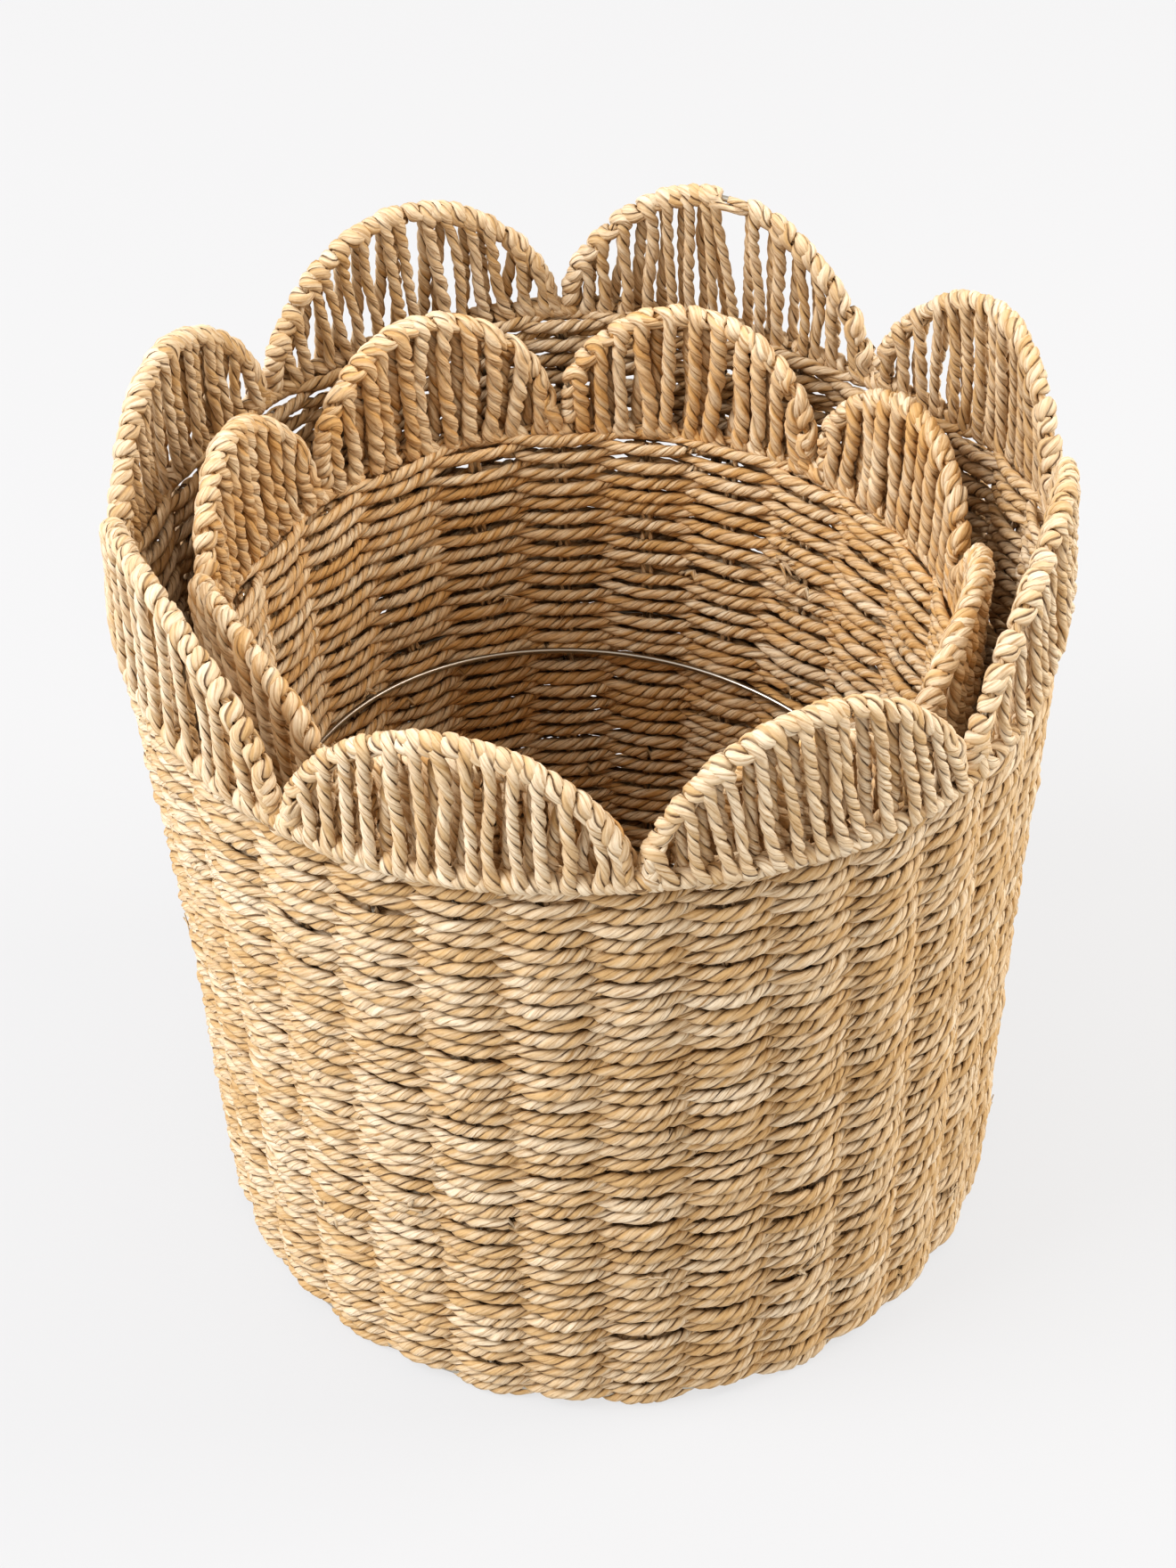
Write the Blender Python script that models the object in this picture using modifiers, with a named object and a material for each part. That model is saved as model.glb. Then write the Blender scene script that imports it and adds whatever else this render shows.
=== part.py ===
"""Nested pair of woven laundry baskets with scalloped rims.

Each basket is paper rope woven over a welded wire frame. Eight arched wires
stand on its rim ring; each is bound with rope and filled with rope strands.
The small basket stands on the floor of the large one and lifts straight out.

Units are metres, +Z is up and the origin is the centre of the large
basket's underside.
"""

import math

import bmesh
import bpy

# ---- driving dimensions ------------------------------------------------------
GAP = 0.0003                 # air left between pieces that touch
WIRE_RADIUS = 0.0014         # stakes, rings, hoops and arches, 2.8 mm wire
BINDING_RADIUS = 0.0053      # rope wound round an arch wire
WEB_THICKNESS = 0.0095       # two layers of strands that fill a scallop
WALL_THICKNESS = 0.011       # rope, stake, rope
FLOOR_THICKNESS = 0.010
EDGE_ROUNDING = 0.004        # bottom edge of the wall
EDGE_LEAN = EDGE_ROUNDING / 20.0
SCALLOPS = 8
FIRST_NOTCH_DEG = 4.0        # the notch nearest -Y, turned towards +X
FIRST_NOTCH = math.radians(FIRST_NOTCH_DEG - 90.0)
FIRST_SCALLOP = FIRST_NOTCH + math.pi / SCALLOPS
HUB_RING_RADIUS = 0.022      # small ring where the floor spokes meet
RING_SLEEVE = 0.0054         # rope looped round the rim ring: half its height
ROUND_STEPS = 32             # sides of every turned shape
ARCH_STEPS = 8               # straight pieces along one arch
WIRE_BEVEL = 1               # gives every wire six sides
SPOKE_SHARE = 4              # one floor spoke for every fourth stake
SPOKE_FIT = 0.98             # spokes a touch thinner and hub a touch thicker than the stakes,
HUB_FIT = 1.02               # so that welded wires never share a face
WELD_SINK = 0.2 * WIRE_RADIUS
CHANNEL_PAST_TOP = 0.010     # how far the stake channels run out of the wall's top
BORE_PAST_FOOT = 0.002       # how far the arch wire's bore runs past its feet
SHARP_ANGLE = math.radians(40.0)

BASKETS = {
    "outer": {
        "bottom": 0.0,             # height of the underside
        "base_radius": 0.1855,     # outer face of the wall at the bottom
        "top_radius": 0.1955,      # outer face of the wall at the top
        "ring_height": 0.3413,     # rim ring wire above the underside
        "ring_radius": 0.1945,
        "arch_height": 0.0648,     # arch wire above the ring wire, at its middle
        "arch_foot": 0.0110,       # straight foot of an arch above the ring wire
        "arch_radius": 0.1910,     # radius of the arch wire at its middle
        "arch_power": 0.70,        # 0.5 is an ellipse, 1.0 a parabola
        "stakes": 32,
        "hoop_height": 0.172,
        "colour": (0.62, 0.45, 0.27, 1.0),
    },
    "inner": {
        "bottom": FLOOR_THICKNESS + GAP,
        "base_radius": 0.1515,
        "top_radius": 0.1595,
        "ring_height": 0.2868,
        "ring_radius": 0.1585,
        "arch_height": 0.0628,
        "arch_foot": 0.0170,
        "arch_radius": 0.1600,
        "arch_power": 0.62,
        "stakes": 24,
        "hoop_height": 0.165,
        "colour": (0.60, 0.43, 0.25, 1.0),
    },
}


def make_material(name, colour, roughness, metallic=0.0):
    material = bpy.data.materials.new(name)
    material.use_nodes = True
    shader = material.node_tree.nodes["Principled BSDF"]
    shader.inputs["Base Color"].default_value = colour
    shader.inputs["Roughness"].default_value = roughness
    shader.inputs["Metallic"].default_value = metallic
    return material


def clear_scene():
    for item in list(bpy.data.objects):
        bpy.data.objects.remove(item)


def add_object(name, mesh, collection, material=None):
    item = bpy.data.objects.new(name, mesh)
    collection.objects.link(item)
    if material is not None:
        mesh.materials.clear()
        mesh.materials.append(material)
    return item


def tube_mesh(name, points, radius, closed=False):
    """Closed mesh of a round wire along points, made from a bevelled curve."""
    curve = bpy.data.curves.new(name, "CURVE")
    curve.dimensions = "3D"
    curve.bevel_depth = radius
    curve.bevel_resolution = WIRE_BEVEL
    curve.use_fill_caps = not closed
    spline = curve.splines.new("POLY")
    spline.points.add(len(points) - 1)
    for slot, point in zip(spline.points, points):
        slot.co = (*point, 1.0)
    spline.use_cyclic_u = closed
    holder = bpy.data.objects.new(name + "_curve", curve)
    bpy.context.scene.collection.objects.link(holder)
    bpy.context.view_layer.update()
    graph = bpy.context.evaluated_depsgraph_get()
    mesh = bpy.data.meshes.new_from_object(holder.evaluated_get(graph))
    mesh.name = name
    bpy.data.objects.remove(holder)
    work = bmesh.new()
    work.from_mesh(mesh)
    bmesh.ops.remove_doubles(work, verts=work.verts, dist=1e-6)
    bmesh.ops.recalc_face_normals(work, faces=work.faces)
    work.to_mesh(mesh)
    work.free()
    return mesh


def ring_points(radius, height, steps=ROUND_STEPS, start=0.0):
    angles = [start + 2.0 * math.pi * i / steps for i in range(steps)]
    return [(radius * math.cos(angle), radius * math.sin(angle), height) for angle in angles]


def combine(target, other, operation, keep_other=False):
    """Boolean target with other and apply it. The other object is dropped unless it's kept."""
    modifier = target.modifiers.new("combine", "BOOLEAN")
    modifier.operation = operation
    modifier.solver = "EXACT"
    modifier.object = other
    bpy.context.view_layer.update()
    graph = bpy.context.evaluated_depsgraph_get()
    mesh = bpy.data.meshes.new_from_object(target.evaluated_get(graph))
    target.modifiers.clear()
    target.data = mesh
    if not keep_other:
        bpy.data.objects.remove(other)


def turned(name, profile, collection, material):
    """Solid of revolution of a closed profile of (radius, height) points."""
    mesh = bpy.data.meshes.new(name)
    count = len(profile)
    vertices = [(radius, 0.0, height) for radius, height in profile]
    mesh.from_pydata(vertices, [(i, (i + 1) % count) for i in range(count)], [])
    item = add_object(name, mesh, collection, material)
    screw = item.modifiers.new("turn", "SCREW")
    screw.axis = "Z"
    screw.steps = ROUND_STEPS
    screw.render_steps = ROUND_STEPS
    screw.use_merge_vertices = True
    screw.merge_threshold = 0.00001
    screw.use_normal_calculate = True
    bpy.context.view_layer.update()
    graph = bpy.context.evaluated_depsgraph_get()
    solid = bpy.data.meshes.new_from_object(item.evaluated_get(graph))
    item.modifiers.clear()
    work = bmesh.new()
    work.from_mesh(solid)
    bmesh.ops.remove_doubles(work, verts=work.verts, dist=1e-6)
    bmesh.ops.recalc_face_normals(work, faces=work.faces)
    work.to_mesh(solid)
    work.free()
    item.data = solid
    return item


def turned_disc(name, radius, bottom, collection, material):
    """Flat round floor, made from a cylinder primitive."""
    work = bmesh.new()
    bmesh.ops.create_cone(work, cap_ends=True, segments=ROUND_STEPS, radius1=radius, radius2=radius,
                          depth=FLOOR_THICKNESS)
    bmesh.ops.translate(work, vec=(0.0, 0.0, bottom + FLOOR_THICKNESS / 2.0), verts=work.verts)
    mesh = bpy.data.meshes.new(name)
    work.to_mesh(mesh)
    work.free()
    return add_object(name, mesh, collection, material)


def wall_line(spec, height):
    """Radius of the wall's outer face at a height above the underside."""
    share = height / wall_top(spec)
    return spec["base_radius"] + (spec["top_radius"] - spec["base_radius"]) * share


def wall_top(spec):
    return spec["ring_height"] - RING_SLEEVE - GAP


def stake_radius(spec, height):
    return wall_line(spec, height) - WALL_THICKNESS / 2.0


def frame_mesh(name, spec, radius, stake_top, cutters):
    """Welded frame: base ring, hub ring, floor spokes and upright stakes."""
    level = spec["bottom"] + FLOOR_THICKNESS / 2.0
    ring = stake_radius(spec, FLOOR_THICKNESS / 2.0)
    frame = add_object(name, tube_mesh(name, ring_points(ring, level), radius, True), cutters)
    for number in range(spec["stakes"]):
        angle = FIRST_NOTCH + 2.0 * math.pi * number / spec["stakes"]
        direction = (math.cos(angle), math.sin(angle))
        low, high = level - spec["bottom"], stake_top
        foot = [direction[0] * stake_radius(spec, low), direction[1] * stake_radius(spec, low)]
        head = [direction[0] * stake_radius(spec, high), direction[1] * stake_radius(spec, high)]
        points = [(*foot, level), (*head, spec["bottom"] + high)]
        stake = add_object("stake", tube_mesh("stake", points, radius), cutters)
        combine(frame, stake, "UNION")
        if number % SPOKE_SHARE == 0:
            points = [(direction[0] * r, direction[1] * r, level) for r in (HUB_RING_RADIUS, ring - WELD_SINK)]
            spoke = add_object("spoke", tube_mesh("spoke", points, radius * SPOKE_FIT), cutters)
            combine(frame, spoke, "UNION")
    hub_points = ring_points(HUB_RING_RADIUS, level, ROUND_STEPS // 2)
    hub = add_object("hub", tube_mesh("hub", hub_points, radius * HUB_FIT, True), cutters)
    combine(frame, hub, "UNION")
    return frame


def arch_points(spec, extra=0.0):
    """Centreline of the arch wire of the scallop that faces +X."""
    half_pitch = math.pi / SCALLOPS
    side = (BINDING_RADIUS + GAP) / spec["ring_radius"]
    reach = half_pitch - side
    ring = spec["bottom"] + spec["ring_height"]
    rise = spec["arch_height"] - spec["arch_foot"]
    foot = WIRE_RADIUS + GAP - extra
    points = []
    for step in range(ARCH_STEPS + 1):
        share = -math.cos(math.pi * step / ARCH_STEPS)
        lift = spec["arch_foot"] + rise * max(0.0, 1.0 - share * share) ** spec["arch_power"]
        radius = spec["ring_radius"] + (spec["arch_radius"] - spec["ring_radius"]) * lift / spec["arch_height"]
        angle = share * reach
        points.append((radius * math.cos(angle), radius * math.sin(angle), ring + lift))
    ends = []
    for angle in (-reach, reach):
        radius = spec["ring_radius"]
        ends.append((radius * math.cos(angle), radius * math.sin(angle), ring + foot))
    return [ends[0]] + points + [ends[1]]


def web_mesh(name, spec):
    """Curved panel of strands under one arch, from the rim ring to the wire."""
    points = arch_points(spec)
    ring = spec["bottom"] + spec["ring_height"]
    half = WEB_THICKNESS / 2.0
    work = bmesh.new()
    rows = []
    for x, y, z in points[1:-1]:
        angle = math.atan2(y, x)
        radius = math.hypot(x, y)
        corners = []
        for height, centre in ((ring - RING_SLEEVE, spec["ring_radius"]), (z, radius)):
            for offset in (-half, half):
                reach = centre + offset
                corners.append(work.verts.new((reach * math.cos(angle), reach * math.sin(angle), height)))
        rows.append(corners)
    for one, two in zip(rows, rows[1:]):
        work.faces.new((one[0], two[0], two[2], one[2]))
        work.faces.new((two[1], one[1], one[3], two[3]))
        work.faces.new((one[2], two[2], two[3], one[3]))
        work.faces.new((two[0], one[0], one[1], two[1]))
    for row in (rows[0], rows[-1]):
        work.faces.new((row[0], row[2], row[3], row[1]))
    bmesh.ops.recalc_face_normals(work, faces=work.faces)
    mesh = bpy.data.meshes.new(name)
    work.to_mesh(mesh)
    work.free()
    return mesh


def scallop_meshes(basket, spec, cutters):
    """One scallop's rope (web and binding, bored for the wires) and its arch wire."""
    points = arch_points(spec)
    rope = add_object(basket + "_scallop", web_mesh(basket + "_scallop", spec), cutters)
    binding = add_object("binding", tube_mesh("binding", points, BINDING_RADIUS), cutters)
    combine(rope, binding, "UNION")
    bore_points = arch_points(spec, BORE_PAST_FOOT)
    bore = add_object("bore", tube_mesh("bore", bore_points, WIRE_RADIUS + GAP), cutters)
    combine(rope, bore, "DIFFERENCE")
    level = spec["bottom"] + spec["ring_height"]
    channel_mesh = tube_mesh("channel", ring_points(spec["ring_radius"], level), WIRE_RADIUS + GAP, True)
    channel = add_object("channel", channel_mesh, cutters)
    combine(rope, channel, "DIFFERENCE")
    wire = tube_mesh(basket + "_arch_wire", points, WIRE_RADIUS)
    mesh = rope.data
    bpy.data.objects.remove(rope)
    return mesh, wire


def build_basket(basket, spec, parts, cutters):
    rope = make_material(basket + "_paper_rope", spec["colour"], 0.75)
    steel = make_material(basket + "_steel_wire", (0.60, 0.58, 0.54, 1.0), 0.35, 1.0)
    bottom, top = spec["bottom"], spec["bottom"] + wall_top(spec)
    outer_top, outer_low = spec["top_radius"], spec["base_radius"]

    wall_profile = [
        (outer_top, top),
        (outer_low + EDGE_LEAN, bottom + EDGE_ROUNDING),
        (outer_low - EDGE_ROUNDING, bottom),
        (outer_low - WALL_THICKNESS, bottom),
        (outer_top - WALL_THICKNESS, top),
    ]
    wall = turned(basket + "_wall_weave", wall_profile, parts, rope)
    floor_radius = outer_low - WALL_THICKNESS - GAP
    floor = turned_disc(basket + "_floor_weave", floor_radius, bottom, parts, rope)

    stake_top = wall_top(spec) - GAP
    frame = frame_mesh(basket + "_wire_frame", spec, WIRE_RADIUS, stake_top, cutters)
    cutter = frame_mesh("frame_channel", spec, WIRE_RADIUS + GAP, wall_top(spec) + CHANNEL_PAST_TOP, cutters)
    for solid in (wall, floor):
        combine(solid, cutter, "DIFFERENCE", keep_other=True)
    bpy.data.objects.remove(cutter)
    cutters.objects.unlink(frame)
    parts.objects.link(frame)
    frame.data.materials.clear()
    frame.data.materials.append(steel)

    level = bottom + spec["ring_height"]
    rim_points = ring_points(spec["ring_radius"], level, start=FIRST_SCALLOP)
    add_object(basket + "_rim_ring", tube_mesh(basket + "_rim_ring", rim_points, WIRE_RADIUS, True), parts, steel)
    hoop_level = spec["hoop_height"]
    hoop_radius = wall_line(spec, hoop_level) - WALL_THICKNESS - WIRE_RADIUS - 2.0 * GAP
    hoop_points = ring_points(hoop_radius, bottom + hoop_level)
    add_object(basket + "_inside_hoop", tube_mesh(basket + "_inside_hoop", hoop_points, WIRE_RADIUS, True),
               parts, steel)

    scallop, wire = scallop_meshes(basket, spec, cutters)
    pitch = 2.0 * math.pi / SCALLOPS
    for number in range(SCALLOPS):
        angle = FIRST_SCALLOP + pitch * number
        for kind, mesh, material in (("scallop", scallop, rope), ("arch_wire", wire, steel)):
            item = add_object(f"{basket}_{kind}_{number + 1}", mesh, parts, material)
            item.rotation_euler = (0.0, 0.0, angle)


def main():
    clear_scene()
    parts = bpy.data.collections.new("nested_scallop_baskets")
    cutters = bpy.data.collections.new("cutters")
    for collection in (parts, cutters):
        bpy.context.scene.collection.children.link(collection)
    for basket, spec in BASKETS.items():
        build_basket(basket, spec, parts, cutters)
    for item in parts.objects:
        item.data.shade_smooth()
        item.data.set_sharp_from_angle(angle=SHARP_ANGLE)
    bpy.context.view_layer.update()


main()
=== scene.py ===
"""Two nested laundry baskets with scalloped rims, woven from twisted paper rope on steel wire."""
import math

import bpy
import numpy as np
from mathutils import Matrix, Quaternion, Vector


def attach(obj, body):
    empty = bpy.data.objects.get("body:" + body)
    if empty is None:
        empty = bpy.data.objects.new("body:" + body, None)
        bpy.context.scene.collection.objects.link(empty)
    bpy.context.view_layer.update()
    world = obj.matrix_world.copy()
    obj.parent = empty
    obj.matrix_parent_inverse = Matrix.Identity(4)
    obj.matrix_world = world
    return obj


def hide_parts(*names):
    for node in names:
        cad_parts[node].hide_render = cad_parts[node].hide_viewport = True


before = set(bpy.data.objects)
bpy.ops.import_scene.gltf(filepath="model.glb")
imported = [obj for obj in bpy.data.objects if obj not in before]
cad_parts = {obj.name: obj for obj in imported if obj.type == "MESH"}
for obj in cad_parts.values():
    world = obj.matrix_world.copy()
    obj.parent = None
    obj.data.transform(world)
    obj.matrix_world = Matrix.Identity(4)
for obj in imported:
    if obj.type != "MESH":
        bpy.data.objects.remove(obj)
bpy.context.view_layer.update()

# ---- sizes in metres -----------------------------------------------------------
ROPE = 0.0026                # radius of the two-ply paper rope
PLY_PITCH = 0.0185           # length of rope in which the two plies turn once round each other
WIRE = 0.0014                # radius of the hoops, rings, arch wires and spokes
ROW_STEP = 0.0043            # height of one woven row
WALL_HALF = 0.0055           # half the wall's thickness
WEAVE_SWING = 0.0039         # how far a row swings in and out round the stakes
FLOOR_THICKNESS = 0.010
RING_SLEEVE = 0.0054         # half the height of the rope round the rim ring
BINDING = 0.0053             # outside radius of a bound arch wire
GAP = 0.0003                 # air between pieces that only lie against each other
SCALLOPS = 8
FIRST_NOTCH = math.radians(4.0 - 90.0)
SCALLOP_ANGLE = 2.0 * math.pi / SCALLOPS
STRAND_STEP = 0.0100         # distance between the front strands of a scallop
TURN_STEP = 0.0068           # distance between the turns round an arch wire
SLEEVE = 0.0019              # radius of the thin paper binding right on the wire
TURN_RADIUS = SLEEVE + 0.0016    # from the wire's middle to the middle of a turn of rope round it
TURN_THICK = 0.0018          # half sizes of a turn of rope pressed flat on the wire
TURN_WIDE = 0.0035
STRAND_THICK = 0.0025        # half sizes of a strand pulled tight between two wires
STRAND_WIDE = 0.0030
STRAND_DRAW = 0.0009         # how far a pulled strand draws in towards the middle of the scallop
LAY_STEP = 0.0019            # distance between the mesh rings of a hand-laid run
STAKE_THICK = 0.0014         # half sizes of each of the two thin strands up a stake
STAKE_WIDE = 0.0016
STAKE_APART = 0.0017         # from a stake's middle to the middle of either strand
STAKE_WIRE = 0.0012          # radius of the wire up a stake
HUB_RADIUS = 0.022           # the wire ring that the floor spokes start from
FLOOR_REACH = 40.0           # radius of the studio floor

# Lists of eight go round the rim from the front notch, or from the scallop to its right.
OUTER = {
    "name": "outer",
    "body": "outer_basket",
    "slot": "outer_paper_rope",
    "bottom": 0.0,
    "base_radius": 0.1855,
    "top_radius": 0.1955,
    "ring_height": 0.3413,
    "ring_radius": 0.1945,
    "arch_height": 0.0648,   # top of the arch wire over the rim ring
    "arch_foot": 0.0110,     # height of the upright foot at each end of an arch
    "arch_radius": 0.1910,   # how far out the arch's top stands
    "arch_power": 0.70,      # 0.5 is a half ellipse, 1 is a parabola
    "stakes": 32,
    "steps": 16,             # mesh rings from one stake to the next
    "bands": 5,              # pieces that the wall's rows are shared between
    "hoop_height": 0.172,
    "stake_turn": 0.7,       # degrees that the stakes stand off their even places
    # unevenness at each notch: degrees round, metres up and metres out; then at each peak, metres up
    "notch_turn": (-0.1, -2.4, 0.2, -0.8, 0.1, 0.4, -4.3, 2.3),
    "notch_rise": (-0.003, -0.007, 0.009, -0.010, 0.001, 0.0, 0.0, -0.005),
    "notch_out": (0.001, 0.004, 0.002, 0.0, 0.0, 0.0, 0.007, 0.004),
    "peak_rise": (0.002, 0.0, 0.003, 0.005, 0.001, 0.0, 0.0, -0.002),
    # in steps between strands: how far a strand's top is off its foot, how far it moves on at the
    # back, and how far it moves along the arch as it passes over
    "strand_lean": (0.85, 0.45, 0.30, 0.15, 0.30, 0.25, 0.35, 0.15),
    "strand_cross": (0.60, 0.60, 0.75, 0.55, 0.95, 0.80, 0.60, 0.60),
    "wrap_slant": (0.15, 0.20, 0.20, 0.36, 0.0, 0.10, 0.15, 0.15),
    "strand_size": 0.92,
    "ply_depth": 0.8,        # how deep the crease between the plies is in the wall
    "bare_spot": 3,          # the scallop whose binding has opened at its top
    "lean": 0.0,             # slope of the whole basket from left to right
    "hoop_tilt": 0.0,
    "loose_ends": 14,
    "stitch": 1.32,          # half height of a stitch of the wall against the rope's radius
    "tighter_side": 0.0,     # how much more the stitches spread on the right side
    "seed": 11,
}
INNER = {
    "name": "inner",
    "body": "inner_basket",
    "slot": "inner_paper_rope",
    "bottom": FLOOR_THICKNESS + GAP,
    "base_radius": 0.1515,
    "top_radius": 0.1595,
    "ring_height": 0.2868,
    "ring_radius": 0.1585,
    "arch_height": 0.0628,
    "arch_foot": 0.0170,
    "arch_radius": 0.1600,
    "arch_power": 0.62,
    "stakes": 24,
    "steps": 16,
    "bands": 4,
    "hoop_height": 0.165,
    "stake_turn": 1.4,
    "notch_turn": (1.4, 1.4, 3.5, 1.0, 1.8, 2.9, -2.6, 1.1),
    "notch_rise": (0.0, 0.0, 0.007, 0.006, 0.002, 0.002, 0.003, 0.0),
    "notch_out": (0.0, 0.0, 0.003, 0.001, 0.0, 0.001, 0.007, 0.001),
    "peak_rise": (0.0, 0.0, 0.0, 0.001, 0.003, 0.003, 0.0, 0.0),
    "strand_lean": (0.4, 0.3, 0.35, 0.2, 0.3, 0.25, 0.35, 0.3),
    "strand_cross": (0.55, 0.55, 0.55, 0.50, 0.50, 0.55, 0.55, 0.55),
    "wrap_slant": (0.34, 0.34, 0.36, 0.42, 0.42, 0.36, 0.34, 0.34),
    "strand_size": 1.20,
    "ply_depth": 0.6,
    "bare_spot": None,
    "lean": -0.055,
    "hoop_tilt": -0.07,
    "loose_ends": 6,
    "stitch": 1.22,
    "tighter_side": 0.24,
    "seed": 23,
}


# ---- small helpers --------------------------------------------------------------
def ramp(low, high, value):
    """0 below low, 1 above high, smooth between."""
    share = np.clip((value - low) / (high - low), 0.0, 1.0)
    return share * share * (3.0 - 2.0 * share)


def unit(vectors):
    """The same directions at length one."""
    return vectors / np.maximum(np.linalg.norm(vectors, axis=-1, keepdims=True), 1e-12)


def around(angle):
    """Horizontal unit vectors pointing away from the basket's axis."""
    return np.stack([np.cos(angle), np.sin(angle), np.zeros_like(angle)], axis=-1)


def round_the_rim(angle, values):
    """A value given at each notch, run smoothly round the rim."""
    place = np.mod((angle - FIRST_NOTCH) / SCALLOP_ANGLE, SCALLOPS)
    low = np.floor(place).astype(int)
    share = ramp(0.0, 1.0, place - low)
    values = np.asarray(values)
    return values[low % SCALLOPS] * (1.0 - share) + values[(low + 1) % SCALLOPS] * share


def settle(points, basket):
    """The small unevenness of a hand-made basket: notches off their even places, a lopsided rim."""
    x, y, z = points[..., 0], points[..., 1], points[..., 2]
    height = z - basket["bottom"]
    angle = np.arctan2(y, x)
    radius = np.hypot(x, y)
    ring = basket["ring_height"]
    share = ramp(0.45 * ring, ring, height)
    stake_turn = basket["stake_turn"]
    notch_turn = round_the_rim(angle, basket["notch_turn"])
    turn = np.radians(stake_turn + (notch_turn - stake_turn) * share)
    rise = round_the_rim(angle, basket["notch_rise"]) * share
    rise = rise + basket["lean"] * x * ramp(0.0, 0.14, height)
    place = np.mod((angle - FIRST_NOTCH) / SCALLOP_ANGLE, SCALLOPS)
    peak = np.asarray(basket["peak_rise"])[np.floor(place).astype(int) % SCALLOPS]
    rise = rise + peak * np.sin(math.pi * place) ** 2 * ramp(ring, ring + basket["arch_height"], height)
    radius = radius + round_the_rim(angle, basket["notch_out"]) * share
    angle = angle + turn
    return np.stack([radius * np.cos(angle), radius * np.sin(angle), z + rise], axis=-1)


def wander(rng, shape, knots, count):
    """Smooth random values of about unit size along a closed run: shape of runs by count samples."""
    values = rng.standard_normal((*shape, knots))
    place = np.arange(count) * knots / count
    low = np.floor(place).astype(int)
    share = ramp(0.0, 1.0, place - low)
    return values[..., low] * (1.0 - share) + values[..., (low + 1) % knots] * share


# ---- rope and wire --------------------------------------------------------------
# One rope is a tube whose mesh turns with its two plies, so that both creases stay sharp.
PLY_ANGLES = np.array([0.0, 24.0, 62.0, 118.0, 156.0, 180.0, 204.0, 242.0, 298.0, 336.0])
PLY_SHAPE = np.array([0.60, 0.87, 1.12, 1.12, 0.87, 0.60, 0.87, 1.12, 1.12, 0.87])
WIRE_ANGLES = np.arange(8) * 45.0
WIRE_SHAPE = np.ones(8)


def tube(path, outward, thick, wide, closed=False, twist=None, angles=WIRE_ANGLES, shape=WIRE_SHAPE,
         groove=None):
    """Rings of points round a path. thick is measured along outward, wide across it.

    The flank shade that it returns, painted into the colour, is 1 on the flanks that its neighbours cover and
    0 on its face and on what looks up.
    """
    if closed:
        ahead = np.roll(path, -1, axis=0) - np.roll(path, 1, axis=0)
        steps = np.linalg.norm(np.roll(path, -1, axis=0) - path, axis=1)
    else:
        ahead = np.gradient(path, axis=0)
        steps = np.linalg.norm(np.diff(path, axis=0), axis=1)
    length = np.concatenate([[0.0], np.cumsum(steps)])
    ahead = unit(ahead)
    side = unit(np.cross(ahead, outward))
    face = np.cross(side, ahead)
    count = len(path)
    turn = np.zeros(count) if twist is None else twist
    angle = np.radians(angles)[None, :] + turn[:, None]
    reach = np.broadcast_to(shape, angle.shape)
    if groove is not None:
        reach = 1.0 - (1.0 - reach) * groove[:, None]
    thick = np.broadcast_to(thick, (count,))[:, None]
    wide = np.broadcast_to(wide, (count,))[:, None]
    off = (thick * reach * np.cos(angle))[..., None] * face[:, None, :]
    off = off + (wide * reach * np.sin(angle))[..., None] * side[:, None, :]
    # painted shade for the flanks that neighbouring ropes cover, none on what looks up
    painted_flank_shade = np.sin(angle) ** 4 * (1.0 - ramp(0.0, 0.6, unit(off)[..., 2]))
    return {"rings": path[:, None, :] + off, "length": length, "closed": closed, "angles": angles,
            "painted_flank_shade": painted_flank_shade}


def rope(path, outward, rng, thick=ROPE, wide=ROPE, closed=False, tone=0.5, depth=1.0):
    """Left-handed two-ply paper rope along a path. Its twist tightens and slackens as it goes."""
    pitch = PLY_PITCH * rng.uniform(0.92, 1.10)
    # wavelengths in metres and how far, in radians, the twist runs ahead or behind over each
    waves = ((0.075, 0.75), (0.041, 0.45), (0.023, 0.25))
    phases = rng.uniform(0.0, 2.0 * math.pi, 2 * len(waves) + 1)
    steps = np.linalg.norm(np.diff(path, axis=0), axis=1)
    length = np.concatenate([[0.0], np.cumsum(steps)])
    total = length[-1] + (np.linalg.norm(path[0] - path[-1]) if closed else 0.0)
    turns = round(2.0 * total / pitch) / 2.0 if closed else total / pitch
    turn = phases[-1] - 2.0 * math.pi * turns * length / total
    swell = np.zeros(len(path))
    for i, (wave, amount) in enumerate(waves):
        cycles = round(total / wave) / total if closed else 1.0 / wave
        place = 2.0 * math.pi * cycles * length
        turn = turn + amount * np.sin(place + phases[i])
        swell = swell + 0.022 * np.sin(place + phases[i + len(waves)])
    groove = depth * (1.0 + 0.45 * np.sin(0.31 * np.arange(len(path)) + 3.0 * phases[0]))
    thick = thick * (1.0 + swell)
    wide = wide * (1.0 + swell)
    run = tube(path, outward, thick, wide, closed, turn, PLY_ANGLES, PLY_SHAPE, groove)
    run["tone"] = np.broadcast_to(tone, (len(path),))
    run["start"] = rng.uniform(0.0, 40.0)
    return run


def wire(path, outward, radius=WIRE, closed=False):
    """Round wire along a path."""
    run = tube(path, outward, radius, radius, closed)
    run["tone"] = np.full(len(path), 0.5)
    run["start"] = 0.0
    return run


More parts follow.
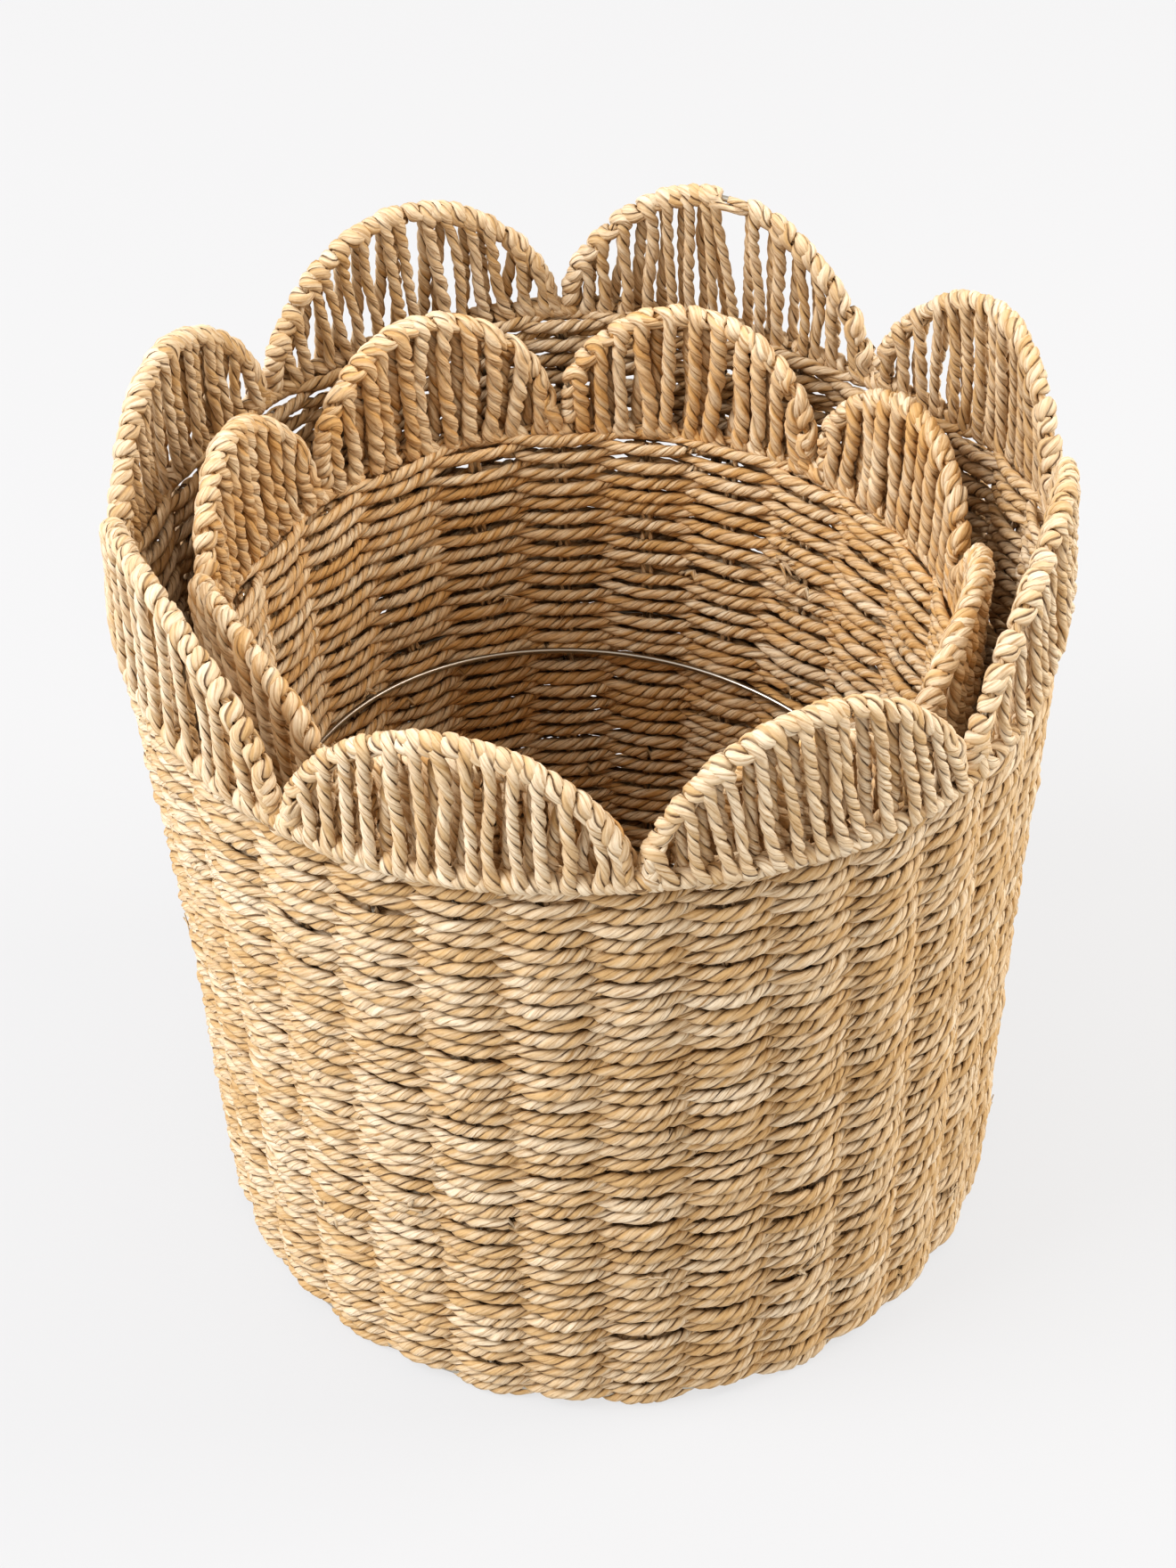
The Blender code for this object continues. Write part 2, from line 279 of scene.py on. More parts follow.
def flat_map(runs, girth):
    """Lays every run out as strips side by side in the unit square, for the surface's own map."""
    steps = np.concatenate([np.diff(run["length"]) for run in runs])
    total = float(steps.sum())
    edge = 0.0025            # empty border round a strip, as a share of the square
    scale = 0.97 / math.sqrt(total * girth)
    longest = float(steps.max())
    while True:
        strip = girth * scale + 2.0 * edge
        rows = int(1.0 / strip)
        usable = 1.0 - 2.0 * edge - longest * scale
        if rows * usable > total * scale:
            break
        scale *= 0.98
    place = np.concatenate([[0.0], np.cumsum(steps)])[:-1] * scale
    row = np.floor(place / usable)
    left = edge + place - row * usable
    return left, left + steps * scale, row * strip + edge, girth * scale


def corners(left, right, low, high):
    """The four map corners of each quad, in the order that its points have."""
    pairs = ((left, low), (left, high), (right, high), (right, low))
    return np.stack([np.stack(pair, -1) for pair in pairs], axis=2).reshape(-1, 2)


def make_piece(name, runs, material, basket, nodes):
    """One mesh of all the runs, with its maps, riding on the basket's body."""
    sides = len(runs[0]["angles"])
    share = np.append(runs[0]["angles"], 360.0) / 360.0
    points, quads, caps, maps, tones, flanks = ([] for _ in range(6))
    offset = 0
    column = np.arange(sides)
    beside = (column + 1) % sides
    for run in runs:
        count = len(run["rings"])
        points.append(run["rings"].reshape(-1, 3))
        tones.append(np.repeat(run["tone"], sides))
        flanks.append(run["painted_flank_shade"].ravel())
        first = np.arange(count if run["closed"] else count - 1)
        second = (first + 1) % count
        a = offset + first[:, None] * sides
        b = offset + second[:, None] * sides
        quads.append(np.stack([a + column, a + beside, b + beside, b + column], axis=-1).reshape(-1, 4))
        u0 = run["start"] + run["length"][first]
        u1 = run["start"] + run["length"][first + 1]
        v0 = np.broadcast_to(share[:-1], (len(first), sides))
        v1 = np.broadcast_to(share[1:], (len(first), sides))
        u0 = np.broadcast_to(u0[:, None], v0.shape)
        u1 = np.broadcast_to(u1[:, None], v0.shape)
        maps.append(corners(u0, u1, v0, v1))
        if not run["closed"]:
            caps.append(offset + column[::-1])
            caps.append(offset + (count - 1) * sides + column)
        offset += count * sides
    points = np.concatenate(points)
    quads = np.concatenate(quads)
    mesh = bpy.data.meshes.new(name)
    mesh.vertices.add(len(points))
    mesh.vertices.foreach_set("co", points.astype(np.float32).ravel())
    corner_list = quads.ravel()
    starts = np.arange(len(quads)) * 4
    if caps:
        caps = np.array(caps)
        starts = np.concatenate([starts, len(corner_list) + np.arange(len(caps)) * sides])
        corner_list = np.concatenate([corner_list, caps.ravel()])
    mesh.loops.add(len(corner_list))
    mesh.loops.foreach_set("vertex_index", corner_list.astype(np.int32))
    mesh.polygons.add(len(starts))
    mesh.polygons.foreach_set("loop_start", starts.astype(np.int32))
    mesh.polygons.foreach_set("use_smooth", np.ones(len(starts), dtype=bool))
    mesh.update(calc_edges=True)
    rope_map = np.zeros((len(corner_list), 2), dtype=np.float32)
    rope_map[: 4 * len(quads)] = np.concatenate(maps)
    girth = 2.0 * math.pi * ROPE if sides == len(PLY_ANGLES) else 2.0 * math.pi * WIRE
    left, right, low, high = flat_map(runs, girth)
    low0 = low[:, None] + share[None, :-1] * high
    low1 = low[:, None] + share[None, 1:] * high
    left = np.broadcast_to(left[:, None], low0.shape)
    right = np.broadcast_to(right[:, None], low0.shape)
    square = np.zeros((len(corner_list), 2), dtype=np.float32)
    square[: 4 * len(quads)] = corners(left, right, low0, low1)
    mesh.uv_layers.new(name="rope").data.foreach_set("uv", rope_map.ravel())
    mesh.uv_layers.new(name="OFBake").data.foreach_set("uv", square.ravel())
    mesh.uv_layers.active = mesh.uv_layers["rope"]
    mesh.uv_layers["rope"].active_render = True
    # per point: the paper's own tone, and the painted shade on its flanks
    for label, values in (("tone", tones), ("painted_flank_shade", flanks)):
        attribute = mesh.attributes.new(label, "FLOAT", "POINT")
        attribute.data.foreach_set("value", np.concatenate(values).astype(np.float32))
    mesh.materials.append(material)
    piece = bpy.data.objects.new(name, mesh)
    bpy.context.scene.collection.objects.link(piece)
    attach(piece, basket["body"])
    if nodes:
        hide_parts(*nodes)


# ---- materials ------------------------------------------------------------------
def colour(hex_code):
    """sRGB hex to linear RGBA."""
    parts = [int(hex_code[i:i + 2], 16) / 255.0 for i in (1, 3, 5)]
    return tuple(c / 12.92 if c <= 0.04045 else ((c + 0.055) / 1.055) ** 2.4 for c in parts) + (1.0,)


def add(tree, kind, settings=None, values=None, links=None):
    """Adds a node: settings are its properties, values its inputs, links its inputs' sources."""
    node = tree.nodes.new(kind)
    for key, value in (settings or {}).items():
        setattr(node, key, value)
    for key, value in (values or {}).items():
        node.inputs[key].default_value = value
    for key, source in (links or {}).items():
        tree.links.new(source, node.inputs[key])
    return node


def new_material(name):
    """A material, its node tree and its shader."""
    material = bpy.data.materials.new(name)
    material.use_nodes = True
    tree = material.node_tree
    return material, tree, tree.nodes["Principled BSDF"]


def twisted_paper_rope(name, deep, body, pale, painted_shade_strength):
    """Kraft-type paper cut in ribbons, folded, rolled damp and twisted two-ply.

    It reads as flattened papery lobes with a dry satin face, paler towards each ply's crest as a painted
    highlight, a thin line of painted shade down one side of each ply where it tucks under the next,
    painted shade on the flanks that lie against the next rope, fold lines and fine wrinkles that follow
    the twist, and a slow drift from straw to cream.
    """
    material, tree, shader = new_material(name)
    place = add(tree, "ShaderNodeUVMap", {"uv_map": "rope"})
    split = add(tree, "ShaderNodeSeparateXYZ", links={0: place.outputs["UV"]})
    along, round_it = split.outputs["X"], split.outputs["Y"]
    tone = add(tree, "ShaderNodeAttribute", {"attribute_name": "tone"}).outputs["Fac"]
    # painted shade for the flanks between neighbouring ropes
    painted_flank_shade = add(tree, "ShaderNodeAttribute", {"attribute_name": "painted_flank_shade"}).outputs["Fac"]
    round_angle = add(tree, "ShaderNodeMath", {"operation": "MULTIPLY"}, {1: 2.0 * math.pi}, {0: round_it})
    ring_x = add(tree, "ShaderNodeMath", {"operation": "COSINE"}, links={0: round_angle.outputs[0]})
    ring_y = add(tree, "ShaderNodeMath", {"operation": "SINE"}, links={0: round_angle.outputs[0]})
    ring_place = add(tree, "ShaderNodeCombineXYZ",
                     links={"X": along, "Y": ring_x.outputs[0], "Z": ring_y.outputs[0]})
    noises = []
    # wrinkles 1 mm apart and 6 mm long; blotches; patches where the crease and its painted shade show;
    # crumples of 2 mm
    for stretch, detail in (((160.0, 2.6, 2.6), 3.0), ((38.0, 0.7, 0.7), 2.0), ((130.0, 1.0, 1.0), 1.0),
                            ((480.0, 1.6, 1.6), 2.0)):
        spread = add(tree, "ShaderNodeVectorMath", {"operation": "MULTIPLY"}, {1: stretch},
                     {0: ring_place.outputs[0]})
        noise = add(tree, "ShaderNodeTexNoise", values={"Scale": 1.0, "Detail": detail, "Roughness": 0.6},
                    links={"Vector": spread.outputs[0]})
        noises.append(noise.outputs["Fac"])
    wrinkle, blotch, patch, crumple = noises

    # place across one ply: 0 at the edge that tucks under, 1 at the edge that lies on top
    doubled = add(tree, "ShaderNodeMath", {"operation": "MULTIPLY"}, {1: 2.0}, {0: round_it})
    across = add(tree, "ShaderNodeMath", {"operation": "FRACT"}, links={0: doubled.outputs[0]}).outputs[0]
    # painted shade: the tuck and the lip darken a thin line along the crease where one ply tucks under the
    # next, in patches; the same crease also sinks the bump
    tuck = add(tree, "ShaderNodeMapRange", {"interpolation_type": "SMOOTHSTEP"},
               {"From Min": 0.0, "From Max": 0.15, "To Min": 1.0, "To Max": 0.0},
               {"Value": across}).outputs["Result"]
    lip = add(tree, "ShaderNodeMapRange", {"interpolation_type": "SMOOTHSTEP"},
              {"From Min": 0.94, "From Max": 1.0}, {"Value": across}).outputs["Result"]
    edge = add(tree, "ShaderNodeMath", {"operation": "MAXIMUM"}, links={0: tuck, 1: lip})
    patchy = add(tree, "ShaderNodeMapRange", values={"From Min": 0.36, "From Max": 0.60, "To Min": 0.25},
                 links={"Value": patch})
    crease = add(tree, "ShaderNodeMath", {"operation": "MULTIPLY"},
                 links={0: edge.outputs[0], 1: patchy.outputs["Result"]}).outputs[0]

    # a fold runs along the middle of the ribbon, wandering from side to side
    wander_by = add(tree, "ShaderNodeMapRange", values={"To Min": 0.28, "To Max": 0.88},
                    links={"Value": blotch})
    from_fold = add(tree, "ShaderNodeMath", {"operation": "SUBTRACT"},
                    links={0: across, 1: wander_by.outputs["Result"]})
    from_fold = add(tree, "ShaderNodeMath", {"operation": "ABSOLUTE"}, links={0: from_fold.outputs[0]})
    fold = add(tree, "ShaderNodeMapRange", {"interpolation_type": "SMOOTHSTEP"},
               {"From Min": 0.0, "From Max": 0.07, "To Min": 1.0, "To Max": 0.0},
               {"Value": from_fold.outputs[0]}).outputs["Result"]
    fold = add(tree, "ShaderNodeMath", {"operation": "MULTIPLY"}, links={0: fold, 1: crumple}).outputs[0]

    paper = add(tree, "ShaderNodeMix", {"data_type": "RGBA"}, {"A": colour(body), "B": colour(pale)})
    amount = add(tree, "ShaderNodeMapRange", values={"From Min": 0.28, "From Max": 0.76},
                 links={"Value": blotch})
    # painted light: each ply is paler from its tucked edge towards its crest, a painted highlight on the lobe
    # and painted shade by the tuck
    painted_crest_light = add(tree, "ShaderNodeMapRange", {"interpolation_type": "SMOOTHSTEP"},
                {"From Min": 0.1, "From Max": 0.6, "To Min": -0.8, "To Max": -0.35}, {"Value": across})
    lift = add(tree, "ShaderNodeMath", {"operation": "ADD"}, links={0: tone, 1: painted_crest_light.outputs["Result"]})
    mixed = add(tree, "ShaderNodeMath", {"operation": "ADD", "use_clamp": True},
                links={0: amount.outputs["Result"], 1: lift.outputs[0]})
    tree.links.new(mixed.outputs[0], paper.inputs["Factor"])
    streak = add(tree, "ShaderNodeMapRange",
                 values={"From Min": 0.34, "From Max": 0.54, "To Min": 0.45, "To Max": 0.0},
                 links={"Value": wrinkle})
    darker = add(tree, "ShaderNodeMath", {"operation": "MULTIPLY_ADD", "use_clamp": True}, {1: 0.9},
                 {0: fold, 2: streak.outputs["Result"]})
    streaked = add(tree, "ShaderNodeMix", {"data_type": "RGBA"}, {"B": colour(deep)},
                   {"A": paper.outputs["Result"], "Factor": darker.outputs[0]})
    # painted shade: the flanks that lie against the next rope, and the line along the crease, are darkened
    # towards a deep brown
    dark = add(tree, "ShaderNodeMath", {"operation": "MULTIPLY_ADD"}, {1: 0.5}, {0: painted_flank_shade, 2: crease})
    dark = add(tree, "ShaderNodeMath", {"operation": "MULTIPLY", "use_clamp": True}, {1: painted_shade_strength},
               {0: dark.outputs[0]})
    painted_shade_mix = add(tree, "ShaderNodeMix", {"data_type": "RGBA"}, {"B": colour(PAINTED_SHADE_BROWN)},
                  {"A": streaked.outputs["Result"], "Factor": dark.outputs[0]})
    tree.links.new(painted_shade_mix.outputs["Result"], shader.inputs["Base Color"])

    rough = add(tree, "ShaderNodeMapRange", values={"To Min": 0.56, "To Max": 0.84}, links={"Value": wrinkle})
    tree.links.new(rough.outputs["Result"], shader.inputs["Roughness"])
    crinkle = add(tree, "ShaderNodeMath", {"operation": "MULTIPLY_ADD"}, {1: 0.8}, {0: crumple, 2: wrinkle})
    folded = add(tree, "ShaderNodeMath", {"operation": "MULTIPLY_ADD"}, {1: -0.7},
                 {0: fold, 2: crinkle.outputs[0]})
    sunk = add(tree, "ShaderNodeMath", {"operation": "MULTIPLY_ADD"}, {1: -1.2},
               {0: crease, 2: folded.outputs[0]})
    bump = add(tree, "ShaderNodeBump", values={"Strength": 0.9, "Distance": 0.0005},
               links={"Height": sunk.outputs[0]})
    tree.links.new(bump.outputs["Normal"], shader.inputs["Normal"])
    shader.inputs["IOR"].default_value = 1.5
    return material


def bright_steel_wire(name):
    """Drawn bright steel wire: narrow highlights, faint lengthwise draw marks."""
    material, tree, shader = new_material(name)
    place = add(tree, "ShaderNodeUVMap", {"uv_map": "rope"})
    stretched = add(tree, "ShaderNodeVectorMath", {"operation": "MULTIPLY"}, {1: (6.0, 40.0, 1.0)},
                    {0: place.outputs["UV"]})
    marks = add(tree, "ShaderNodeTexNoise", values={"Scale": 1.0, "Detail": 3.0},
                links={"Vector": stretched.outputs[0]})
    shade = add(tree, "ShaderNodeMix", {"data_type": "RGBA"},
                {"A": colour("#A9A49B"), "B": colour("#D6D2C9")}, {"Factor": marks.outputs["Fac"]})
    rough = add(tree, "ShaderNodeMapRange", values={"To Min": 0.22, "To Max": 0.42},
                links={"Value": marks.outputs["Fac"]})
    tree.links.new(shade.outputs["Result"], shader.inputs["Base Color"])
    tree.links.new(rough.outputs["Result"], shader.inputs["Roughness"])
    shader.inputs["Metallic"].default_value = 1.0
    return material


PAINTED_SHADE_BROWN = "#4E2A0A"
OUTER_ROPE = twisted_paper_rope("outer_twisted_paper_rope", "#AC8450", "#D4B486", "#EFDEC4", 0.9)
# The inner basket's copy of the rope: its more orange body and deep colour are painted warm shade for the
# inside of the baskets, its paler cream is painted light for its lit right wall, and its painted crease and
# flank shade is fainter.
INNER_ROPE = twisted_paper_rope("inner_twisted_paper_rope", "#A97B40", "#DDB67F", "#F5E4C8", 0.55)
STEEL = bright_steel_wire("bright_steel_wire")


# ---- walls and floors -----------------------------------------------------------
def wall_top(basket):
    """Height of the wall's top over the basket's underside."""
    return basket["ring_height"] - RING_SLEEVE - GAP


def wall_middle(basket, height):
    """Radius of the wall's middle surface at a height above the basket's underside."""
    share = height / wall_top(basket)
    return basket["base_radius"] + (basket["top_radius"] - basket["base_radius"]) * share - WALL_HALF


def make_wall(basket, material):
    """Rows of rope woven in front of one stake and behind the next, in bands of rows."""
    rng = np.random.default_rng(basket["seed"])
    stakes, steps = basket["stakes"], basket["steps"]
    count = stakes * steps
    top = wall_top(basket)
    highest = basket["ring_height"] - RING_SLEEVE + 1.05 * ROPE
    rows = int((highest - ROPE) / ROW_STEP) + 1
    lowest = 1.6 * ROPE
    heights = lowest + (highest - lowest) * np.arange(rows) / (rows - 1)
    angle = FIRST_NOTCH + 2.0 * math.pi * np.arange(count) / count
    wave = np.cos(stakes / 2.0 * (angle - FIRST_NOTCH))
    swing = np.sign(wave) * np.abs(wave) ** 0.8
    side = np.where(np.arange(rows) % 2 == 0, 1.0, -1.0)[:, None]
    # the lowest rows are beaten tight and swing less
    swing_here = WEAVE_SWING * (1.0 - 0.45 * np.exp(-heights / 0.010))[:, None]
    out = swing_here * side * swing[None, :] * (1.0 + 0.12 * wander(rng, (rows,), stakes, count))
    out = out + 0.00025 * wander(rng, (rows,), stakes, count)
    lift = 0.00070 * wander(rng, (rows,), stakes, count) + 0.00035 * wander(rng, (rows,), 7, count)
    lift = lift * ramp(0.0, 0.016, heights)[:, None]
    drift = 0.0015 * wander(rng, (4,), 9, count)
    slow = np.stack([np.interp(heights, np.linspace(0.0, top, 4), drift[:, i]) for i in range(count)], axis=1)
    inside = np.sin(math.pi * heights / top)[:, None]
    z = heights[:, None] + lift + slow * inside
    # the wall rounds in under its lowest row
    foot = 0.0022 * np.exp(-heights / 0.004)[:, None]
    radius = wall_middle(basket, z) + out - foot
    stitch = basket["stitch"] + basket["tighter_side"] * np.maximum(0.0, np.cos(angle))
    # a row spreads over each stake and narrows where it passes through between two
    pinch = stitch - (stitch - 0.86) * (1.0 - np.abs(wave)) ** 1.5
    around_it = around(angle)
    runs = []
    for i in range(rows):
        path = radius[i][:, None] * around_it
        path[:, 2] = basket["bottom"] + z[i]
        path = settle(path, basket)
        start = int(rng.integers(count))
        path, outward, width = (np.roll(v, start, axis=0) for v in (path, around_it, pinch))
        fat = ROPE * (1.0 + 0.07 * wander(rng, (), stakes, count))
        tone = 0.5 + 0.22 * wander(rng, (), stakes // 2, count) + rng.normal(0.0, 0.06)
        runs.append(rope(path, outward, rng, 0.97 * fat, fat * width, True, tone, basket["ply_depth"]))
    bands = np.array_split(np.arange(rows), basket["bands"])
    nodes = [basket["name"] + "_wall_weave"]
    torn = [loose_end(basket, rng) for _ in range(basket["loose_ends"]) for _ in range(3)]
    for number, band in enumerate(bands):
        its_runs = [runs[i] for i in band] + torn[number::len(bands)]
        label = f"{basket['name']}_wall_weave_{number + 1}"
        make_piece(label, its_runs, material, basket, nodes)


def loose_end(basket, rng):
    """A torn tip of paper ribbon that has worked its way out between two rows."""
    face = 1.0 if basket["name"] == "outer" else -1.0
    spot = rng.integers(1, 1 + basket["loose_ends"])
    height = wall_top(basket) * (0.06 + 0.92 * ((spot * 0.618) % 1.0)) + rng.normal(0.0, 0.002)
    angle = spot * 2.4 + rng.normal(0.0, 0.012)
    length = rng.uniform(0.004, 0.010)
    slope = rng.uniform(-1.1, 1.1)
    share = np.linspace(0.0, 1.0, 7)
    out = WEAVE_SWING + 0.8 * ROPE + rng.uniform(0.0005, 0.0018) * share
    radius = wall_middle(basket, height) + face * out
    turned = angle + rng.choice((-1.0, 1.0)) * length * math.cos(slope) * share / radius
    path = radius[:, None] * around(turned)
    path[:, 2] = basket["bottom"] + height + length * math.sin(slope) * share
    width = 0.0013 * (1.0 - 0.8 * share ** 2)
    return rope(settle(path, basket), around(turned), rng, 0.0003, width, False, 0.6, 0.3)


def make_floor(basket, material):
    """Rings of rope woven over and under the floor spokes."""
    rng = np.random.default_rng(basket["seed"] + 1)
    outside = basket["base_radius"] - 2.0 * WALL_HALF - ROPE
    rings = round((outside - ROPE) / ROW_STEP) + 1
    runs = []
    for i, radius in enumerate(np.linspace(outside, ROPE, rings)):
        # fewer crossings towards the middle, where the spokes run together
        ribs = basket["stakes"] if radius > 0.075 else basket["stakes"] // 2
        ribs = ribs if radius > 0.030 else 6
        count = ribs * max(6, int(2.0 * math.pi * radius / ribs / 0.0026))
        angle = FIRST_NOTCH + 2.0 * math.pi * np.arange(count) / count
        wave = np.cos(ribs / 2.0 * (angle - FIRST_NOTCH))
        side = 1.0 if i % 2 == 0 else -1.0
        reach = radius + 0.0003 * wander(rng, (), ribs, count)
        path = reach[:, None] * around(angle)
        path[:, 2] = basket["bottom"] + FLOOR_THICKNESS / 2.0 + 0.0022 * side * wave
        up = np.broadcast_to(np.array([0.0, 0.0, 1.0]), path.shape)
        runs.append(rope(path, up, rng, 0.95 * ROPE, ROPE, True, 0.5 + 0.2 * wander(rng, (), ribs, count)))
    label = basket["name"] + "_floor_weave"
    make_piece(label, runs, material, basket, [label])


def make_stakes(basket, material):
    """Two thin strands of paper rope side by side up every stake, with the wire between them."""
    rng = np.random.default_rng(basket["seed"] + 2)
    runs, wires = [], []
    top = wall_top(basket)
    height = np.linspace(0.003, top, 60)
    level = basket["bottom"] + FLOOR_THICKNESS / 2.0
    for number in range(basket["stakes"]):
        angle = FIRST_NOTCH + 2.0 * math.pi * number / basket["stakes"]
        middle = wall_middle(basket, height)
        for side in (-1.0, 1.0):
            turned = angle + side * STAKE_APART / middle
            path = middle[:, None] * around(turned)
            path[:, 2] = basket["bottom"] + height
            path = settle(path, basket)
            runs.append(rope(path, around(turned), rng, STAKE_THICK, STAKE_WIDE, False, 0.62))
        straight = np.full_like(height, angle)
        path = middle[:, None] * around(straight)
        path[:, 2] = basket["bottom"] + height
        wires.append(wire(settle(path, basket), around(straight), STAKE_WIRE))
        if number % 4 == 0:
            out = np.linspace(HUB_RADIUS, basket["base_radius"] - 2.0 * WALL_HALF, 12)
            spoke = out[:, None] * around(np.full_like(out, angle))
            spoke[:, 2] = level
            wires.append(wire(spoke, np.broadcast_to(np.array([0.0, 0.0, 1.0]), spoke.shape)))
    for radius in (HUB_RADIUS, wall_middle(basket, FLOOR_THICKNESS / 2.0)):
        wires.append(hoop(basket, radius, FLOOR_THICKNESS / 2.0))
    make_piece(basket["name"] + "_stake_strands", runs, material, basket, [])
    label = basket["name"] + "_wire_frame"
    make_piece(label, wires, STEEL, basket, [label])


def hoop(basket, radius, height, tilt=0.0, steps=192):
    """A wire ring round the basket's axis."""
    angle = FIRST_NOTCH + 2.0 * math.pi * np.arange(steps) / steps
    path = radius * around(angle)
    path[:, 2] = basket["bottom"] + height + tilt * path[:, 0]
    return wire(settle(path, basket), around(angle), WIRE, True)


def make_hoops(basket):
    """The bare hoop on the wall's inside and the ring that the scallops stand on."""
    level = basket["hoop_height"]
    radius = wall_middle(basket, level) - WALL_HALF - WIRE - GAP
    inside = hoop(basket, radius, level, basket["hoop_tilt"])
    ring = hoop(basket, basket["ring_radius"], basket["ring_height"])
    for part, run in (("inside_hoop", inside), ("rim_ring", ring)):
        label = basket["name"] + "_" + part
        make_piece(label, [run], STEEL, basket, [label])


# ---- scallops -------------------------------------------------------------------
def arch_reach(basket):
    """Angle from the middle of a scallop to the foot of its arch wire."""
    return SCALLOP_ANGLE / 2.0 - (BINDING + GAP) / basket["ring_radius"]


def arch_point(basket, middle, share):
    """Centre of the arch wire. share is -1 to 1 over the arch, and on to 1.2 down each upright foot."""
    share = np.asarray(share, dtype=float)
    rise = basket["arch_height"] - basket["arch_foot"]
    hill = np.maximum(0.0, 1.0 - share * share) ** basket["arch_power"]
    down = np.maximum(0.0, np.abs(share) - 1.0) / 0.2
    lift = basket["arch_foot"] * (1.0 - 0.85 * down) + rise * hill
    lean_out = basket["arch_radius"] - basket["ring_radius"]
    radius = basket["ring_radius"] + lean_out * lift / basket["arch_height"]
    angle = middle + np.clip(share, -1.0, 1.0) * arch_reach(basket)
    point = radius[..., None] * around(angle)
    point[..., 2] = basket["bottom"] + basket["ring_height"] + lift
    return point, angle


def arch_frame(basket, middle, share):
    """Point on the arch, the way out of the basket there, and the way off the wire, up from the scallop."""
    step = 2e-3
    point, angle = arch_point(basket, middle, share)
    after, _ = arch_point(basket, middle, share + step)
    before, _ = arch_point(basket, middle, share - step)
    out = around(angle)
    return point, out, unit(np.cross(out, unit(after - before)))


def smooth_run(points, outward, sizes, step):
    """Evenly spaced, slightly rounded copy of a hand-laid run."""
    length = np.concatenate([[0.0], np.cumsum(np.linalg.norm(np.diff(points, axis=0), axis=1))])
    count = int(length[-1] / step) + 1
    place = np.linspace(0.0, length[-1], count)
    table = np.concatenate([points, outward, sizes], axis=1)
    table = np.stack([np.interp(place, length, column) for column in table.T], axis=1)
    for _ in range(2):
        table[1:-1] = 0.25 * table[:-2] + 0.5 * table[1:-1] + 0.25 * table[2:]
    return table[:, :3], unit(table[:, 3:6]), table[:, 6:]


class Lay:
    """Points of one hand-laid run of rope, with the way off what it lies on and its size there."""

    def __init__(self, basket):
        self.basket = basket
        self.points = []
        self.outward = []
        self.sizes = []

    def put(self, point, out, thick, wide, depth):
        """One more point, with the rope's half sizes and the depth of its crease there."""
        self.points.append(point)
        self.outward.append(out)
        self.sizes.append((thick, wide, depth))

    def turn(self, place, start, end, fat=1.0):
        """Round a wire. place gives its centre, the way out and the way up at a swing in degrees."""
        steps = max(3, int(abs(end - start) / 24.0))
        for i in range(steps + 1):
            swing = start + (end - start) * i / steps
            centre, out, up = place(swing)
            way = math.cos(math.radians(swing)) * out + math.sin(math.radians(swing)) * up
            self.put(centre + TURN_RADIUS * fat * way, way, TURN_THICK * fat, TURN_WIDE * fat, 0.85)

    def strand(self, start, end, out, bend, wave, slim):
        """Straight between two wires, but for a small bend, and drawn in towards the middle."""
        steps = max(2, int(np.linalg.norm(end - start) / 0.006))
        side = np.cross(np.array([0.0, 0.0, 1.0]), out)
        for i in range(1, steps):
            share = i / steps
            hill = math.sin(math.pi * share)
            bow = bend * hill + wave * math.sin(2.0 * math.pi * share)
            self.put(start + (end - start) * share - STRAND_DRAW * hill * out + bow * side, out,
                     STRAND_THICK * slim, STRAND_WIDE * slim, 0.8)

    def run(self, rng):
        """The rope of everything laid so far. Its flanks stay pale, as light reaches in from both sides."""
        points = settle(np.array(self.points), self.basket)
        path, outward, sizes = smooth_run(points, np.array(self.outward), np.array(self.sizes), LAY_STEP)
        tone = 0.64 + 0.2 * wander(rng, (), max(6, len(path) // 22), len(path))
        thick, wide, depth = sizes.T
        laid = rope(path, outward, rng, thick, wide, False, tone, depth)
        # the painted flank shade is kept faint on strands, which light reaches from both sides
        laid["painted_flank_shade"] = 0.15 * laid["painted_flank_shade"]
        return laid


